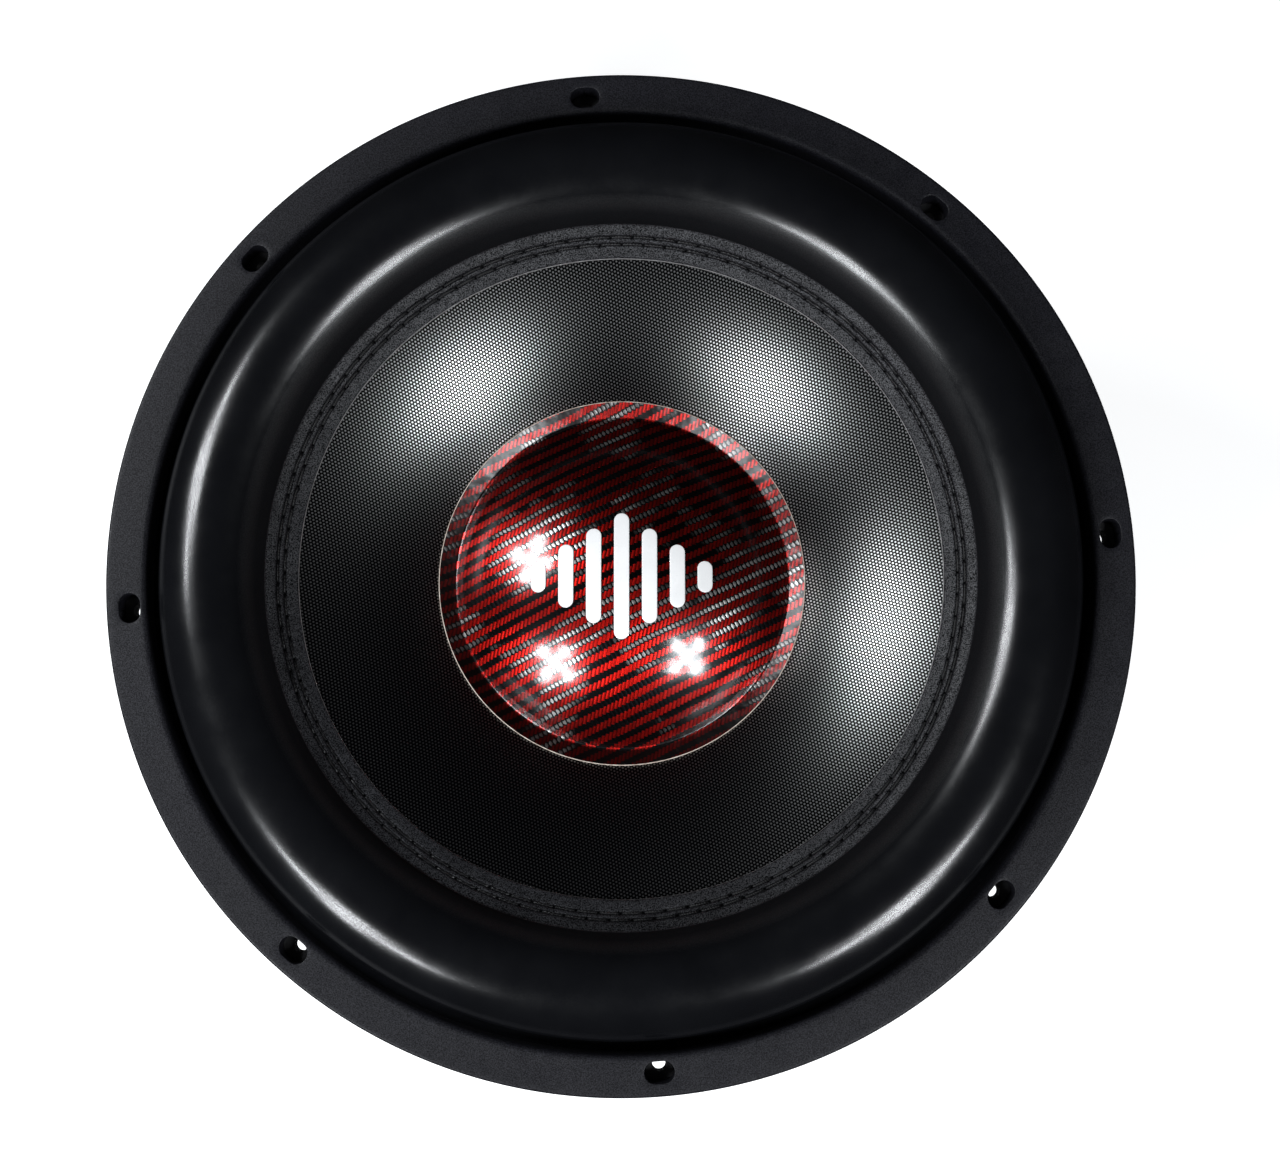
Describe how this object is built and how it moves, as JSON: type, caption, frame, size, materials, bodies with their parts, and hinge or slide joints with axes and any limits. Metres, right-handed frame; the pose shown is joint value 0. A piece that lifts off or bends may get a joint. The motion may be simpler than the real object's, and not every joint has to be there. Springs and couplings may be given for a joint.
{
  "type": "car subwoofer speaker",
  "caption": "Round high-excursion subwoofer driver with a large foam roll, stitched woven cone, twill dust cap, cast basket and stacked magnet motor",
  "frame": {"origin": "centre of the bolt circle on the flange's rear seating face", "axes": "+Z out of the speaker's front, along the cone's travel; +X towards one terminal block"},
  "size_m": [0.3959, 0.396, 0.231],
  "materials": {
    "basket_paint": "fine textured black powder coat on cast aluminium",
    "gasket_rubber": "satin charcoal with a fine grain",
    "seal_foam": "closed-cell foam",
    "surround_foam": "smooth satin black",
    "thread": "waxed twisted thread",
    "cone_weave": "glossy black woven fibre in resin",
    "cap_twill": "red and black twill under a clear coat",
    "mark_white": "printed white",
    "former_metal": "thin drawn sheet",
    "copper": "enamelled copper wire",
    "collar_resin": "hard black adhesive",
    "spider_cloth": "resin-dipped cotton weave",
    "spacer_plastic": "moulded",
    "tinsel": "braided tinsel",
    "plate_steel": "black plated steel",
    "ferrite": "ground ferrite",
    "sleeve_aluminium": "turned",
    "boot_rubber": "moulded satin",
    "screen_steel": "punched",
    "bolt_steel": "black oxide",
    "terminal_plastic": "glass-filled nylon",
    "button_red": "moulded",
    "button_black": "moulded",
    "spring_steel": "drawn wire",
    "contact_brass": "plated",
    "screw_steel": "zinc plated"
  },
  "bodies": {
    "frame": {"basket": "basket_paint", "mounting_gasket": "gasket_rubber", "rear_gasket": "seal_foam", "spider_spacer": "spacer_plastic", "spider_clamp": "spacer_plastic", "top_plate": "plate_steel", "magnet_front": "ferrite", "magnet_middle": "ferrite", "magnet_rear": "ferrite", "back_plate": "plate_steel", "pole_sleeve": "sleeve_aluminium", "magnet_boot": "boot_rubber", "vent_screen": "screen_steel", "motor_bolts": "bolt_steel", "terminal_block_right": "terminal_plastic", "terminal_block_left": "terminal_plastic", "button_spring_1": "spring_steel", "button_spring_2": "spring_steel", "button_spring_3": "spring_steel", "button_spring_4": "spring_steel", "terminal_contacts": "contact_brass", "terminal_screws": "screw_steel"},
    "diaphragm": {"surround": "surround_foam", "stitching_inner_row": "thread", "stitching_outer_row": "thread", "cone": "cone_weave", "dust_cap": "cap_twill", "emblem": "mark_white", "coil_former": "former_metal", "voice_coil": "copper", "neck_collar": "collar_resin", "upper_spider": "spider_cloth", "lower_spider": "spider_cloth", "tinsel_leads": "tinsel"},
    "button_1": {"button_1": "button_red"},
    "button_2": {"button_2": "button_black"},
    "button_3": {"button_3": "button_red"},
    "button_4": {"button_4": "button_black"}
  },
  "joints": [
    {"name": "cone_travel", "type": "slide", "parent": "frame", "child": "diaphragm", "axis": [0, 0, 1], "range_m": [-0.025, 0.025], "stiffness_N_per_m": 10000, "deforming": ["surround", "upper_spider", "lower_spider", "tinsel_leads"]},
    {"name": "button_1_press", "type": "slide", "parent": "frame", "child": "button_1", "axis": [0, 0, 1], "range_m": [0, 0.004], "stiffness_N_per_m": 800, "springref_m": -0.004, "deforming": ["button_spring_1"]},
    {"name": "button_2_press", "type": "slide", "parent": "frame", "child": "button_2", "axis": [0, 0, 1], "range_m": [0, 0.004], "stiffness_N_per_m": 800, "springref_m": -0.004, "deforming": ["button_spring_2"]},
    {"name": "button_3_press", "type": "slide", "parent": "frame", "child": "button_3", "axis": [0, 0, 1], "range_m": [0, 0.004], "stiffness_N_per_m": 800, "springref_m": -0.004, "deforming": ["button_spring_3"]},
    {"name": "button_4_press", "type": "slide", "parent": "frame", "child": "button_4", "axis": [0, 0, 1], "range_m": [0, 0.004], "stiffness_N_per_m": 800, "springref_m": -0.004, "deforming": ["button_spring_4"]}
  ]
}
